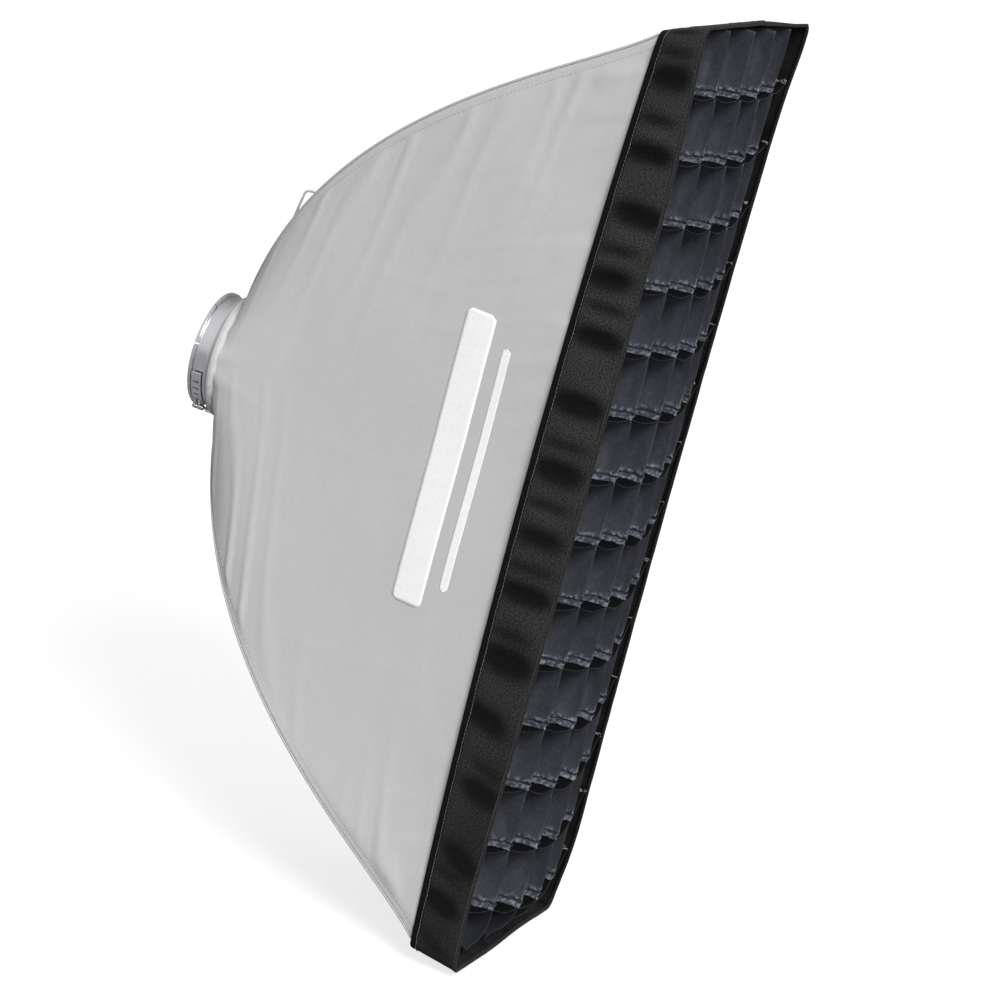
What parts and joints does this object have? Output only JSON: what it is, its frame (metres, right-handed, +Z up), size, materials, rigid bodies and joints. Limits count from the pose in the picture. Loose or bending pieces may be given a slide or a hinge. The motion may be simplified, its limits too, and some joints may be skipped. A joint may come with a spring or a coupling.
{
  "type": "strip softbox",
  "caption": "Long narrow fabric softbox on bent rods with a clamping flash ring, inner baffle, front diffuser and lift-off egg-crate grid.",
  "frame": {"origin": "centre of the flash ring's rear face, on the optical axis", "axes": "+Z up along the long side, +Y along the optical axis towards the flash head, so light leaves towards -Y, X across the narrow side"},
  "size_m": [0.301, 0.446, 0.92],
  "materials": {
    "shell_fabric": "matt woven nylon, faded grey",
    "silver_fabric": "metallised satin",
    "diffuser_fabric": "translucent white ripstop",
    "grid_fabric": "satin black nylon",
    "skirt_fabric": "coarse black canvas",
    "binding_tape": "ribbed black tape",
    "hook_tape": "hook and loop pile",
    "elastic": "woven elastic",
    "ring_alloy": "satin",
    "band_steel": "polished",
    "latch_steel": "brushed",
    "hub_plastic": "fine grain",
    "rubber": "matt",
    "rod_steel": "oiled spring steel",
    "tip_plastic": "matt"
  },
  "bodies": {
    "flash_ring": {"mount_ring": "ring_alloy", "friction_ring": "rubber", "retaining_clip": "rod_steel", "clamp_band": "band_steel", "latch_bracket": "latch_steel", "latch_keeper": "latch_steel", "lever_pin": "latch_steel"},
    "lever": {"latch_lever": "latch_steel", "link_pin": "latch_steel"},
    "link": {"latch_link": "latch_steel"},
    "flap": {"access_flap": "shell_fabric"},
    "diffuser": {"front_diffuser": "diffuser_fabric", "diffuser_border": "hook_tape", "diffuser_pull_tab": "binding_tape"},
    "grid": {"grid_skirt": "skirt_fabric", "skirt_rear_binding": "binding_tape", "skirt_front_binding": "binding_tape", "grid_hook_tape": "hook_tape", "grid_long_strips": "grid_fabric", "grid_cross_strips": "grid_fabric"},
    "softbox": {"hub_ring": "hub_plastic", "rod_sockets": "latch_steel", "socket_screws": "rod_steel", "rod_upper_left": "rod_steel", "rod_upper_right": "rod_steel", "rod_lower_left": "rod_steel", "rod_lower_right": "rod_steel", "rod_tips": "tip_plastic", "corner_pockets": "binding_tape", "rod_sleeves": "shell_fabric", "neck_collar": "shell_fabric", "panel_left": "shell_fabric", "panel_right": "shell_fabric", "panel_top": "shell_fabric", "panel_bottom": "shell_fabric", "lining_left": "silver_fabric", "lining_right": "silver_fabric", "lining_top": "silver_fabric", "lining_bottom": "silver_fabric", "front_hem": "shell_fabric", "hem_loop_tape": "hook_tape", "inner_baffle": "diffuser_fabric", "baffle_straps": "elastic", "baffle_snaps": "rod_steel"}
  },
  "joints": [
    {"name": "softbox_rotation", "type": "hinge", "parent": "flash_ring", "child": "softbox", "pos_m": [0, -0.0237, 0], "axis": [0, 1, 0], "continuous": true},
    {"name": "latch_lever_swing", "type": "hinge", "parent": "flash_ring", "child": "lever", "pos_m": [-0.02586, -0.01, -0.05431], "axis": [0, -1, 0], "range_deg": [0, 110]},
    {"name": "latch_link_swing", "type": "hinge", "parent": "lever", "child": "link", "pos_m": [-0.03166, -0.01, -0.05277], "axis": [0, -1, 0], "range_deg": [-97, 0]},
    {"name": "flap_fold", "type": "hinge", "parent": "softbox", "child": "flap", "pos_m": [0.03, -0.06568, 0.15649], "axis": [0, 0.4917, -0.8708], "range_deg": [0, 110]},
    {"name": "diffuser_lift_off", "type": "slide", "parent": "softbox", "child": "diffuser", "axis": [0, -1, 0], "range_m": [0, 0.15]},
    {"name": "grid_lift_off", "type": "slide", "parent": "diffuser", "child": "grid", "axis": [0, -1, 0], "range_m": [0, 0.15]}
  ],
  "couplings": [
    {"joint": "latch_link_swing", "follows": "latch_lever_swing", "ratio": -0.875}
  ]
}
